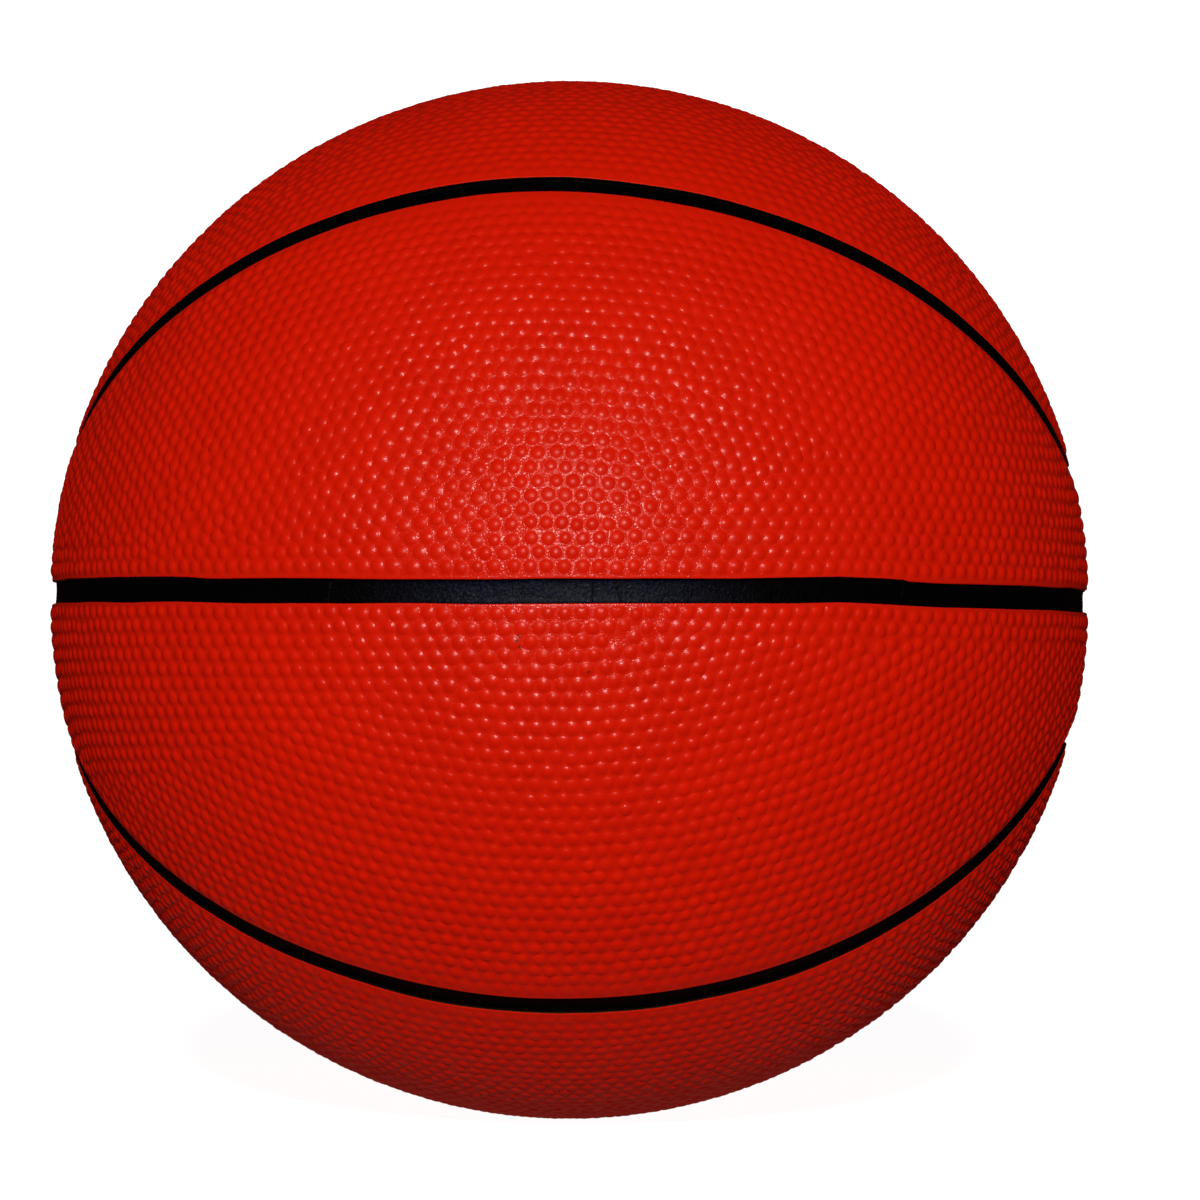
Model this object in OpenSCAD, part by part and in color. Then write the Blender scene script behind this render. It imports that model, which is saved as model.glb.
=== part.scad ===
// Inflated basketball. Eight rubber cover panels and the black strips between them
// lie on a carcass, which lies on a thread winding and an air bladder. A valve of a
// housing and a core goes through the wall at the back.
// The origin is the centre of the ball. The equator channel lies in the XY plane, the
// meridian channel in the XZ plane, and a side loop runs round each end of the Z axis.

/* [Ball] */
// Diameter over the cover panels, between the pebbles
ball_d = 243; // [200:1:250]

/* [Channels] */
// Width of the channels, from panel edge to panel edge
channel_w = 5.1; // [3.5:0.1:7]
// Angle above the equator at which a side loop crosses the meridian channel
loop_side_angle = 13.5; // [11:0.5:20]
// Angle above the equator at which a side loop passes the front and the back
loop_front_angle = 48.5; // [44:0.5:55]

/* [Wall] */
// Thickness of the cover panels
cover_t = 1.5; // [1.2:0.05:2.2]
// Thickness of the black strips on the floor of the channels
strip_t = 0.4; // [0.3:0.05:0.8]
// Thickness of the carcass
carcass_t = 0.6; // [0.4:0.05:1.2]
// Thickness of the thread winding
winding_t = 0.35; // [0.2:0.05:0.8]
// Thickness of the bladder wall
bladder_t = 0.6; // [0.4:0.05:1.2]
// Glue line between neighbouring pieces
glue_line = 0.05; // [0.03:0.01:0.1]

/* [Valve] */
// Angle of the valve above the equator, in the middle of a back panel
valve_angle = 26; // [23:0.5:29]
// Outer diameter of the valve housing's barrel
barrel_d = 8.6; // [8.2:0.1:12]
// Length of the barrel, from its mouth to its inner end
barrel_l = 22; // [21:0.5:28]
// Depth of the barrel's mouth below the panel
mouth_drop = 0.3; // [0:0.05:0.6]
// Diameter of the housing's flange
flange_d = 24; // [18:0.5:30]
// Thickness of the housing's flange
flange_t = 1.2; // [0.8:0.1:2]
// Diameter of the reinforcing patch
patch_d = 36; // [32:1:50]
// Thickness of the reinforcing patch
patch_t = 0.5; // [0.3:0.05:0.9]
// Diameter of the hole at the barrel's inner end
nose_hole_d = 3; // [2:0.1:4]

/* [Valve core] */
// Diameter of the core's shank
core_d = 5; // [4.6:0.1:5.4]
// Length of the core
core_l = 18; // [17:0.1:19.5]
// Diameter of the core's head
head_d = 6.2; // [6:0.1:6.8]
// Thickness of the core's head
head_t = 1.2; // [0.8:0.1:2]
// Diameter of the bead that holds the core in the housing
bead_d = 6; // [5.6:0.1:6.6]
// Length of the bead along the core
bead_l = 2; // [1.2:0.1:3]
// Distance from the core's inner end to the bead
bead_rise = 4; // [2:0.1:5]
// Depth of the core's head below the barrel's mouth
head_drop = 0.2; // [0:0.05:0.5]
// Diameter of the needle passage
needle_d = 2; // [1.8:0.1:2.4]
// Depth of the needle passage below the head
needle_l = 14; // [8:0.5:15]
// Diameter of the passage's funnel at the head
funnel_d = 3; // [2.6:0.1:3.8]
// Depth of the funnel
funnel_l = 0.8; // [0.4:0.1:1.5]

/* [Hidden] */

// Straight pieces in each side loop's outline
loop_steps = 28;
$fn = 96;

cover_colour = [0.80, 0.09, 0.03];
strip_colour = [0.04, 0.04, 0.05];
carcass_colour = [0.16, 0.15, 0.15];
winding_colour = [0.86, 0.84, 0.78];
bladder_colour = [0.10, 0.10, 0.11];
patch_colour = [0.30, 0.29, 0.28];
housing_colour = [0.12, 0.12, 0.13];
core_colour = [0.20, 0.20, 0.21];

// Radii of the layers, from the outside in
ball_r = ball_d / 2;
cover_in_r = ball_r - cover_t;
floor_r = cover_in_r + strip_t;
carcass_r = cover_in_r - glue_line;
carcass_in_r = carcass_r - carcass_t;
winding_r = carcass_in_r - glue_line;
winding_in_r = winding_r - winding_t;
bladder_r = winding_in_r - glue_line;
bladder_in_r = bladder_r - bladder_t;
patch_r = bladder_in_r - glue_line;
patch_in_r = patch_r - patch_t;
flange_r = patch_in_r - glue_line;
flange_in_r = flange_r - flange_t;

// Heights along the valve's axis, measured from the centre of the ball
mouth_h = ball_r - mouth_drop;
nose_h = mouth_h - barrel_l;
head_h = mouth_h - head_drop;
shank_h = head_h - head_t;
core_end_h = head_h - core_l;
bead_h = core_end_h + bead_rise;
needle_h = head_h - needle_l;
wall_hole_d = barrel_d + 2 * glue_line;

// A strip leaves a glue line at the panels on both sides
strip_w = channel_w - 2 * glue_line;
// The cutting shapes reach well past the ball
reach = ball_d;

// A side loop is one branch of a hyperbola, seen along X. It passes loop_side_z at
// y = 0 and the point (loop_front_y, loop_front_z) on the ball's surface.
loop_side_z = ball_r * sin(loop_side_angle);
loop_front_z = ball_r * sin(loop_front_angle);
loop_front_y = ball_r * cos(loop_front_angle);
loop_slope = sqrt(pow(loop_front_z, 2) - pow(loop_side_z, 2)) / loop_front_y;
loop_end = log_of_sum(loop_slope * ball_r / loop_side_z);

function log_of_sum(x) = ln(x + sqrt(x * x + 1));
function hyp_sin(t) = (exp(t) - exp(-t)) / 2;
function hyp_cos(t) = (exp(t) + exp(-t)) / 2;
function unit(v) = v / norm(v);
function loop_point(t) = [hyp_sin(t) * loop_side_z / loop_slope, hyp_cos(t) * loop_side_z];
function loop_normal(p) = unit([-pow(loop_slope, 2) * p[0], p[1]]);
function shifted_point(p, out) = p + out * loop_normal(p);

// The loop's outline in the YZ plane, moved out from its middle line by the distance out
function loop_line(out) = [
    for (i = [-loop_steps / 2 : loop_steps / 2])
        shifted_point(loop_point(2 * loop_end * i / loop_steps), out)
];

function reversed(list) = [for (i = [len(list) - 1 : -1 : 0]) list[i]];

module shell(outer_r, inner_r) {
    difference() {
        sphere(r = outer_r);
        sphere(r = inner_r);
    }
}

// Sweeps an outline drawn in the YZ plane along X
module along_x() {
    rotate([90, 0, 90])
        linear_extrude(height = 2 * reach, center = true)
            children();
}

// Everything above the side loop, from the edge of a band of the width w
module above_loop(w) {
    along_x()
        polygon(concat(loop_line(w / 2), [[reach, reach], [-reach, reach]]));
}

// Everything between the equator band and the loop band, both of the width w
module below_loop(w) {
    along_x()
        polygon(concat(loop_line(-w / 2), [[reach, w / 2], [-reach, w / 2]]));
}

// The band of the width w along the side loop
module loop_band(w) {
    along_x()
        polygon(concat(loop_line(-w / 2), reversed(loop_line(w / 2))));
}

// The side of the meridian channel that faces the front
module front_half() {
    translate([-reach, -reach - channel_w / 2, -reach])
        cube([2 * reach, reach, 2 * reach]);
}

module meridian_slab() {
    translate([-reach, -strip_w / 2, -reach])
        cube([2 * reach, strip_w, 2 * reach]);
}

module equator_slab() {
    translate([-reach, -reach, -strip_w / 2])
        cube([2 * reach, 2 * reach, strip_w]);
}

module right_half() {
    translate([0, -reach, -reach])
        cube([reach, 2 * reach, 2 * reach]);
}

// Turns and mirrors: back is 1 behind the meridian, low is 1 below the equator
module placed(back, low) {
    mirror([0, 0, low])
        mirror([0, back, 0])
            children();
}

module at_valve() {
    rotate([valve_angle - 90, 0, 0])
        children();
}

module wall_hole() {
    at_valve()
        cylinder(d = wall_hole_d, h = reach);
}

module cap_panel(back, low) {
    color(cover_colour)
        placed(back, low)
            intersection() {
                shell(ball_r, cover_in_r);
                above_loop(channel_w);
                front_half();
            }
}

module belt_panel(back, low) {
    color(cover_colour)
        placed(back, low)
            intersection() {
                shell(ball_r, cover_in_r);
                below_loop(channel_w);
                front_half();
            }
}

module cap_panel_top_front() {
    cap_panel(0, 0);
}

module cap_panel_top_back() {
    cap_panel(1, 0);
}

module cap_panel_bottom_front() {
    cap_panel(0, 1);
}

module cap_panel_bottom_back() {
    cap_panel(1, 1);
}

module belt_panel_upper_front() {
    belt_panel(0, 0);
}

module belt_panel_upper_back() {
    color(cover_colour)
        difference() {
            belt_panel(1, 0);
            wall_hole();
        }
}

module belt_panel_lower_front() {
    belt_panel(0, 1);
}

module belt_panel_lower_back() {
    belt_panel(1, 1);
}

module equator_strip() {
    color(strip_colour)
        intersection() {
            shell(floor_r, cover_in_r);
            equator_slab();
        }
}

module loop_strip(low) {
    color(strip_colour)
        placed(0, low)
            intersection() {
                shell(floor_r, cover_in_r);
                loop_band(strip_w);
            }
}

module upper_loop_strip() {
    loop_strip(0);
}

module lower_loop_strip() {
    loop_strip(1);
}

module meridian_strip(low) {
    color(strip_colour)
        placed(0, low)
            intersection() {
                shell(floor_r, cover_in_r);
                meridian_slab();
                above_loop(channel_w);
            }
}

module upper_meridian_strip() {
    meridian_strip(0);
}

module lower_meridian_strip() {
    meridian_strip(1);
}

// left is 1 on the side of -X
module link_strip(left, low) {
    color(strip_colour)
        mirror([left, 0, 0])
            placed(0, low)
                intersection() {
                    shell(floor_r, cover_in_r);
                    meridian_slab();
                    below_loop(channel_w);
                    right_half();
                }
}

module link_strip_upper_right() {
    link_strip(0, 0);
}

module link_strip_upper_left() {
    link_strip(1, 0);
}

module link_strip_lower_right() {
    link_strip(0, 1);
}

module link_strip_lower_left() {
    link_strip(1, 1);
}

module carcass() {
    color(carcass_colour)
        difference() {
            shell(carcass_r, carcass_in_r);
            wall_hole();
        }
}

module winding() {
    color(winding_colour)
        difference() {
            shell(winding_r, winding_in_r);
            wall_hole();
        }
}

module bladder() {
    color(bladder_colour)
        difference() {
            shell(bladder_r, bladder_in_r);
            wall_hole();
        }
}

// A round disc that follows the inside of the ball, centred on the valve
module curved_disc(outer_r, inner_r, d) {
    intersection() {
        shell(outer_r, inner_r);
        at_valve()
            cylinder(d = d, h = reach);
    }
}

module valve_patch() {
    color(patch_colour)
        difference() {
            curved_disc(patch_r, patch_in_r, patch_d);
            wall_hole();
        }
}

// The core's outline, grown by the clearance gap, turned round the valve's axis
module core_solid(gap) {
    at_valve() {
        translate([0, 0, core_end_h - gap])
            cylinder(d = core_d + 2 * gap, h = core_l - head_t + gap);
        translate([0, 0, bead_h - gap])
            cylinder(d = bead_d + 2 * gap, h = bead_l + 2 * gap);
        translate([0, 0, shank_h - gap])
            cylinder(d = head_d + 2 * gap, h = head_t + gap);
    }
}

module valve_housing() {
    color(housing_colour)
        difference() {
            union() {
                curved_disc(flange_r, flange_in_r, flange_d);
                at_valve()
                    translate([0, 0, nose_h])
                        cylinder(d = barrel_d, h = barrel_l);
            }
            core_solid(glue_line);
            at_valve() {
                translate([0, 0, shank_h])
                    cylinder(d = head_d + 2 * glue_line, h = reach);
                cylinder(d = nose_hole_d, h = core_end_h);
            }
        }
}

module valve_core() {
    color(core_colour)
        difference() {
            core_solid(0);
            at_valve() {
                translate([0, 0, needle_h])
                    cylinder(d = needle_d, h = reach);
                translate([0, 0, head_h - funnel_l])
                    cylinder(d1 = needle_d, d2 = funnel_d, h = funnel_l);
            }
        }
}

cap_panel_top_front();
cap_panel_top_back();
cap_panel_bottom_front();
cap_panel_bottom_back();
belt_panel_upper_front();
belt_panel_upper_back();
belt_panel_lower_front();
belt_panel_lower_back();
equator_strip();
upper_loop_strip();
lower_loop_strip();
upper_meridian_strip();
lower_meridian_strip();
link_strip_upper_right();
link_strip_upper_left();
link_strip_lower_right();
link_strip_lower_left();
carcass();
winding();
bladder();
valve_patch();
valve_housing();
valve_core();
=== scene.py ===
import bpy
import math
import numpy as np
from collections import namedtuple
from itertools import product
from mathutils import Matrix, Vector
from mathutils.geometry import delaunay_2d_cdt
from mathutils.kdtree import KDTree


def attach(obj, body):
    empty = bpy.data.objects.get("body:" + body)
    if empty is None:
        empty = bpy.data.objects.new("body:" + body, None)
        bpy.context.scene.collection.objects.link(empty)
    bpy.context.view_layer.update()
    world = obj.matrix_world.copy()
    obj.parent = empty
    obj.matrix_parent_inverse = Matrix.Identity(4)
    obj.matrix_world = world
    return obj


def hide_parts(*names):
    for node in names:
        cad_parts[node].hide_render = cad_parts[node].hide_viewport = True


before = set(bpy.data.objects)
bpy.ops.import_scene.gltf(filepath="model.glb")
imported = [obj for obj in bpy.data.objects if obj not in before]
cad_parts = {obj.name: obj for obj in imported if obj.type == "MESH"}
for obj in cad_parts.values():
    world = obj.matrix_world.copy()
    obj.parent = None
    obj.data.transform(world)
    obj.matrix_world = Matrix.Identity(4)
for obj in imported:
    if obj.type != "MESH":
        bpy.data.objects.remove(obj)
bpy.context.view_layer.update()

# Units
MM = 0.001

# The ball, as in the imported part
BALL_R = 121.5
COVER_IN_R = 120.0
FLOOR_R = 120.4
CHANNEL_W = 5.1
LOOP_SIDE_ANGLE = 13.5
LOOP_FRONT_ANGLE = 48.5
VALVE_ANGLE = 26
WALL_HOLE_R = 4.35

# Steps and samples along the outlines
LOOP_TABLE_END = 2.2
LOOP_TABLE_SAMPLES = 3000
LOOP_SAMPLES = 400
CIRCLE_SAMPLES = 600
END_SAMPLES = 200
MERIDIAN_SAMPLES = 900
SEARCH_STEP = 0.35
AHEAD = 0.1
AXIS_CLEAR = 0.001
NEARLY_Z = 0.99
SAME_PLACE = 1e-9

# Pebbles
PEBBLE_R = 1.68
PEBBLE_R_SPREAD = 0.09
PEBBLE_R_RANGE = (1.45, 1.8)
PEBBLE_H = 0.45
PEBBLE_H_SPREAD = 0.04
ROW_PITCH = 3.25
IN_ROW_PITCH = 3.75
ALONG_JITTER = 0.27
ACROSS_JITTER = 0.19
PHASE_JITTER = 0.12
CLOSEST_SITES = 2.9
HOLE_R = 2.75
WIDEST_HOLE_R = 8.25
RELAX_REACH = 3.65
RELAX_STEPS = 20
RELAX_PUSH = 0.13
RELAX_BAND = 9.0
RELAX_START = 1.4
HELD_EDGE = (3.0, 4.5)
FADE_HALF_WIDTH = 36.0
FLAT_BELOW = 0.02
DOME_RINGS = (0.45, 0.8, 1.0)
DOME_HEIGHTS = (0.82, 0.4, 0.0)

# How far a site may lie outside its first row: at first and after the others pushed it,
# along the main edges and at the ends, and past the seam in rows
ROW_SLACK = 0.6
PUSHED_SLACK = 0.5
END_SLACK = 0.2
PUSHED_END_SLACK = 0.3
SEAM_OVERLAP = 0.3

# The field and the feet of its pebbles: how much a border point outweighs a site, the
# share of a hole's radius that is left free, the farthest a next site counts and the
# share of its distance, the least radius, the share of the way to the next foot, and
# the unevenness
BORDER_WEIGHT = 8.0
HOLE_SHARE = 0.9
FARTHEST_SITE = 6.72
NEIGHBOUR_SHARE = 0.52
LEAST_FOOT_R = 1.2
MOST_REACH = 0.97
FOOT_SPREAD = (0.965, 1.035)

# Edges and undersides of the panels. Each ring of the lip has its distance from the
# edge and its height. The edge wavers, and the points below stay clear of the walls.
EDGE_STEP = 1.3
CORNER_PASSES = 4
EDGE_PROBE = 2.0
LIP = ((0.5, 0.0), (0.3, -0.03), (0.13, -0.12), (0.03, -0.27), (0.0, -0.45), (0.0, -1.12))
LIP_LEAN = 0.5
PANEL_BOTTOM = -1.4
EDGE_WOBBLE = 0.09
WOBBLE_SPAN = 34
LEAST_WAVES = 3
FAR_FROM_EDGE = 9.0
UNDER_EDGE = -2.0
UNDERSIDE_STEP = 26
UNDERSIDE_CLEAR = 4.0
RIM_STEP = 3
VALVE_LIP_SCALE = 1.2
VALVE_SIDES = 44
VALVE_CLEAR = 1.9
FIRST_SEED = 11

# How far the moulded channels wander from their regular places: pixel columns of the
# photo, and the pixels by which the channel lies lower there
EQUATOR_DRIFT = (
    (60, -1), (140, -0.5), (220, 1), (480, 1.4), (560, 0), (640, -1.2), (740, -2), (800, -3.3),
    (840, -4.8), (880, -4.3), (940, -2.1), (1060, -2.6),
)
UPPER_DRIFT = (
    (100, -5), (140, -2), (180, 0), (240, 1.7), (340, 1.3), (400, 0.3), (480, -0.9), (560, -0.3),
    (660, 1.7), (760, 2.1), (840, 2.2), (900, 0.8), (980, 0.8), (1060, -4),
)
LOWER_DRIFT = (
    (100, 11), (140, 5.3), (180, 2.5), (220, -0.3), (280, -1.9), (360, -2.1), (420, 0), (470, 0.9),
    (560, 1.5), (760, 2.7), (860, 2.7), (940, 1.2), (1020, 1.2), (1060, 4.8),
)
DRIFT_REACH = 15.0
DRIFT_BACK = 40.0
PX_PER_MM = 4.5

# How far the black paint covers the lip above the equator: pixel columns and millimetres
PAINT_OVER = ((63, 0), (67, 0.3), (190, 0.3), (206, 0), (700, 0), (850, 0.45), (903, 0.5), (909, 0))
PAINT_OVER_TOP = 8.0

# Small dirty marks: where the photo shows each and how many millimetres it reaches
STAINS = (
    (516, 638, 2.2), (521, 647, 1.6), (590, 674, 1.8), (740, 819, 1.5), (303, 751, 1.3),
    (222, 787, 1.0), (775, 544, 0.8), (791, 545, 0.8), (796, 552, 0.6),
)
STAIN_CORE = 1.3

# Light and camera
IMAGE_PX = 1200
BALL_CENTRE_PX = (569.56, 599.87)
BALL_RADIUS_PX = 517.8
CAMERA_RADII = 11
CAMERA_YAW = 2.33
CAMERA_TILT = -0.88
CAMERA_ROLL = 0.59
SENSOR_MM = 36
CAMERA_CLIP = (0.05, 20)

LOOP_Z = BALL_R * math.sin(math.radians(LOOP_SIDE_ANGLE))
FRONT_Z = BALL_R * math.sin(math.radians(LOOP_FRONT_ANGLE))
FRONT_Y = BALL_R * math.cos(math.radians(LOOP_FRONT_ANGLE))
LOOP_SLOPE = math.sqrt(FRONT_Z**2 - LOOP_Z**2) / FRONT_Y
HALF_W = CHANNEL_W / 2


def unit(v):
    """The vectors of the last axis, each with the length 1."""
    return v / np.linalg.norm(v, axis=-1, keepdims=True)


def apart(a, b):
    """The distances between directions in millimetres."""
    return np.linalg.norm(a - b, axis=-1) * BALL_R


def lengths_to(points):
    """The length of a polyline up to each of its points."""
    steps = np.linalg.norm(np.diff(points, axis=0), axis=1)
    return np.concatenate([[0], np.cumsum(steps)])


def points_at(points, along, wanted):
    """The points of a polyline at the wanted lengths, where along are those to its
    own points."""
    return np.stack([np.interp(wanted, along, points[:, k]) for k in range(3)], axis=1)


def resampled(points, count):
    """A polyline on the unit sphere, cut into count equal parts."""
    along = lengths_to(points)
    return unit(points_at(points, along, np.linspace(0, along[-1], count + 1)))


def parts_of(line, step):
    """How many steps in millimetres a line of directions has room for on the ball."""
    return lengths_to(line)[-1] * BALL_R / step


def level_line(height, turn):
    """The parallel circle at that height, at the given angles from the front."""
    radius = math.sqrt(BALL_R**2 - height**2)
    x, y = radius * np.sin(turn), -radius * np.cos(turn)
    return unit(np.stack([x, y, np.full_like(turn, height)], axis=1))


def upright_line(y, angle):
    """The upright circle at that y, at the given angles above the right side."""
    radius = math.sqrt(BALL_R**2 - y**2)
    x, z = radius * np.cos(angle), radius * np.sin(angle)
    return unit(np.stack([x, np.full_like(angle, y), z], axis=1))


def loop_arc(shift, edge):
    """The front loop, moved toward the cap by shift, from the right end at the
    distance edge from the meridian's plane to the left one, as directions."""
    t = np.linspace(0, LOOP_TABLE_END, LOOP_TABLE_SAMPLES)
    y = -np.sinh(t) * LOOP_Z / LOOP_SLOPE
    z = np.cosh(t) * LOOP_Z
    normal = unit(np.stack([-(LOOP_SLOPE**2) * y, z], axis=1))
    y = y + shift * normal[:, 0]
    z = z + shift * normal[:, 1]
    t_end = np.interp(BALL_R, np.hypot(y, z), t)
    t_start = np.interp(edge, -y, t)
    left_over = np.linspace(1, 0, LOOP_SAMPLES)
    wanted = t_end - (t_end - t_start) * left_over**2
    y, z = np.interp(wanted, t, y), np.interp(wanted, t, z)
    x = np.sqrt(np.maximum(BALL_R**2 - y**2 - z**2, 0))
    right = np.stack([x, y, z], axis=1)
    left = right[:-1][::-1] * (-1, 1, 1)
    return unit(np.concatenate([right, left]))


def belt_sides(s):
    """The sides of a belt panel at the distance s from its edge, anticlockwise from
    the lower left corner: equator, right end, loop, left end."""
    edge = HALF_W + s
    loop = loop_arc(-edge, edge)
    end = math.atan2(math.sqrt(BALL_R**2 - 2 * edge**2), edge)
    bottom = level_line(edge, np.linspace(-end, end, CIRCLE_SAMPLES))
    z = np.linspace(edge, loop[0, 2] * BALL_R, END_SAMPLES)
    right_end = upright_line(-edge, np.arcsin(z / math.sqrt(BALL_R**2 - edge**2)))
    left_end = right_end[::-1] * (-1, 1, 1)
    return [bottom, right_end, loop, left_end]


def cap_sides(s):
    """The sides of a cap panel at the distance s from its edge, anticlockwise from
    the left corner: loop, meridian."""
    edge = HALF_W + s
    loop = loop_arc(edge, edge)[::-1]
    first = math.atan2(loop[-1, 2], loop[-1, 0])
    meridian = upright_line(-edge, np.linspace(first, math.pi - first, MERIDIAN_SAMPLES))
    return [loop, meridian]


def ring_of(sides, counts):
    """The closed outline with counts parts on each side, its corners rounded."""
    ring = np.concatenate([resampled(p, n)[:-1] for p, n in zip(sides, counts)])
    for _ in range(CORNER_PASSES):
        ring = (np.roll(ring, 1, axis=0) + 2 * ring + np.roll(ring, -1, axis=0)) / 4
    return unit(ring)


def smooth_noise(rng, count, span):
    """Smooth closed noise of about -1 to 1, whose waves are some span samples long."""
    waves = max(LEAST_WAVES, int(count / span))
    turn = np.linspace(0, 2 * math.pi, count, endpoint=False)
    total = np.zeros(count)
    for k in range(1, waves):
        total += rng.normal() * np.sin(k * turn + rng.uniform(0, 2 * math.pi))
    return total / math.sqrt(waves)


def tree_of(points):
    """A search tree over directions, which are scaled to the ball's radius."""
    tree = KDTree(len(points))
    for i, p in enumerate(points):
        tree.insert(Vector(p * BALL_R), i)
    tree.balance()
    return tree


def distances(points, line):
    """The distance in millimetres of each direction from a polyline."""
    tree = tree_of(resampled(line, int(parts_of(line, SEARCH_STEP))))
    return np.array([tree.find(Vector(p * BALL_R))[2] for p in points])


def offset_row(line, distance):
    """A line on the ball at that distance to the left of another one."""
    tangent = unit(np.gradient(line, axis=0))
    inward = unit(np.cross(line, tangent))
    angle = distance / BALL_R
    return unit(line * math.cos(angle) + inward * math.sin(angle))


def family_rows(rng, line, first, count, pitch):
    """Pebble sites in staggered rows along a line, counted from its middle."""
    sites = []
    for k in range(count):
        row = offset_row(line, first + k * pitch)
        along = lengths_to(row) * BALL_R
        middle = along[-1] / 2
        half = int(middle / IN_ROW_PITCH) + 1
        start = 0.5 * (k % 2) + rng.uniform(-PHASE_JITTER, PHASE_JITTER)
        at = middle + (np.arange(-half, half) + start) * IN_ROW_PITCH
        at = at + rng.normal(0, ALONG_JITTER, len(at))
        at = at[(at > 0) & (at < along[-1])]
        points, ahead = (points_at(row, along, x) for x in (at, at + AHEAD))
        side = unit(np.cross(points, ahead - points))
        across = rng.normal(0, ACROSS_JITTER, len(at))[:, None]
        sites.append(unit(points + side * across / BALL_R))
    return np.concatenate(sites)


def relaxed(sites, movable):
    """Pushes crowded sites apart, those that are movable only."""
    for _ in range(RELAX_STEPS):
        tree = tree_of(sites)
        moved = sites.copy()
        for i in np.flatnonzero(movable > 0):
            here = sites[i]
            push = np.zeros(3)
            for place, j, gap in tree.find_range(Vector(here * BALL_R), RELAX_REACH):
                if j != i:
                    away = here * BALL_R - np.array(place)
                    push += away / gap * (RELAX_REACH - gap)
            moved[i] = here + RELAX_PUSH * movable[i] * push / BALL_R
        sites = unit(moved)
    return sites


# The settings of one kind of panel: the function of its sides, which of them are its
# main edge, the other one and the ends, the distances of the first rows, the rows from
# each edge, the seam between the two families, and the heights near the other edge
Panel = namedtuple("Panel", "sides main other ends first_main first_other rows seam fade")


def from_edges(sites, kind):
    """The distance of each site from the panel's nearest edge."""
    return np.min([distances(sites, side) for side in kind.sides(0)], axis=0)


def away_from_edges(sites, kind, slack, end_slack):
    """Which sites lie no nearer to the panel's edges than the first rows less slack."""
    sides = kind.sides(0)
    keep = distances(sites, sides[kind.main]) > kind.first_main - slack
    keep &= distances(sites, sides[kind.other]) > kind.first_other - slack
    for k in kind.ends:
        keep &= distances(sites, sides[k]) > kind.first_main - end_slack
    return keep


def pebble_sites(rng, kind):
    """The sites of a panel's pebbles and the share of the full height of each."""
    sides = kind.sides(0)
    main, other = sides[kind.main], sides[kind.other]
    width = distances(other[len(other) // 2][None], main)[0]
    span = width - kind.first_main - kind.first_other
    count = round(span / ROW_PITCH)
    pitch = span / count
    kept = []
    for line, first, sign in ((main, kind.first_main, 1), (other, kind.first_other, -1)):
        sites = family_rows(rng, line, first, kind.rows, pitch)
        seam = np.interp(sites[:, 0] * BALL_R, *kind.seam)
        lead = sign * (distances(sites, main) - seam)
        keep = away_from_edges(sites, kind, ROW_SLACK, END_SLACK) & inside(sites, kind)
        keep &= lead <= SEAM_OVERLAP * pitch
        kept.append((sites[keep], lead[keep]))
    sites, from_middle = (np.concatenate(parts) for parts in zip(*kept))
    order = np.argsort(-np.abs(from_middle), kind="stable")
    tree = tree_of(sites)
    taken = np.zeros(len(sites), bool)
    for i in order:
        near = tree.find_range(Vector(sites[i] * BALL_R), CLOSEST_SITES)
        taken[i] = not any(taken[j] for _, j, _ in near)
    sites, from_middle = sites[taken], from_middle[taken]
    added = hole_sites(sites, kind)
    sites = np.concatenate([sites, added])
    from_middle = np.concatenate([from_middle, np.zeros(len(added))])
    movable = np.clip(RELAX_START - np.abs(from_middle) / RELAX_BAND, 0, 1)
    movable *= np.interp(from_edges(sites, kind), HELD_EDGE, (0, 1))
    sites = relaxed(sites, movable)
    keep = away_from_edges(sites, kind, PUSHED_SLACK, PUSHED_END_SLACK)
    height = np.interp(distances(sites, other), *kind.fade)
    aside = np.abs(sites[:, 0]) * BALL_R
    middle = 1 - np.clip((aside - FADE_HALF_WIDTH) / FADE_HALF_WIDTH, 0, 1)
    height = 1 - (1 - height) * middle
    return sites[keep], height[keep]


def hole_sites(sites, kind):
    """New sites in the middles of the holes that have room for one."""
    faces = triangulated(sites, unit(sites.mean(axis=0)), [])
    a, b, c = (sites[faces[:, k]] for k in range(3))
    centres = unit(np.cross(b - a, c - a))
    room = apart(centres, a)
    wide = (room > HOLE_R) & (room < WIDEST_HOLE_R)
    centres, room = centres[wide], room[wide]
    clear = from_edges(centres, kind) > kind.first_main - PUSHED_END_SLACK
    clear &= inside(centres, kind)
    centres, room = centres[clear], room[clear]
    added = np.zeros((0, 3))
    for i in np.argsort(-room, kind="stable"):
        if (apart(added, centres[i]) > CLOSEST_SITES).all():
            added = np.concatenate([added, centres[i : i + 1]])
    return added


def inside(sites, kind):
    """Whether directions lie within the panel's outline."""
    normal = unit(np.concatenate(kind.sides(0)).mean(axis=0))
    flat = flattened(sites, normal)
    outline = flattened(np.concatenate([p[:-1] for p in kind.sides(0)]), normal)
    ahead = np.roll(outline, -1, axis=0)
    found = np.zeros(len(sites), bool)
    for a, b in zip(outline, ahead):
        spans = (a[1] > flat[:, 1]) != (b[1] > flat[:, 1])
        if spans.any():
            cross = a[0] + (flat[:, 1] - a[1]) * (b[0] - a[0]) / (b[1] - a[1])
            found ^= spans & (flat[:, 0] < cross)
    return found


def plane_axes(normal):
    """Two directions across a normal, so that the three are right-handed."""
    first = np.array([1.0, 0.0, 0.0])
    if abs(normal[2]) < NEARLY_Z:
        first = unit(np.cross([0.0, 0.0, 1.0], normal))
    return first, np.cross(normal, first)


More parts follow.
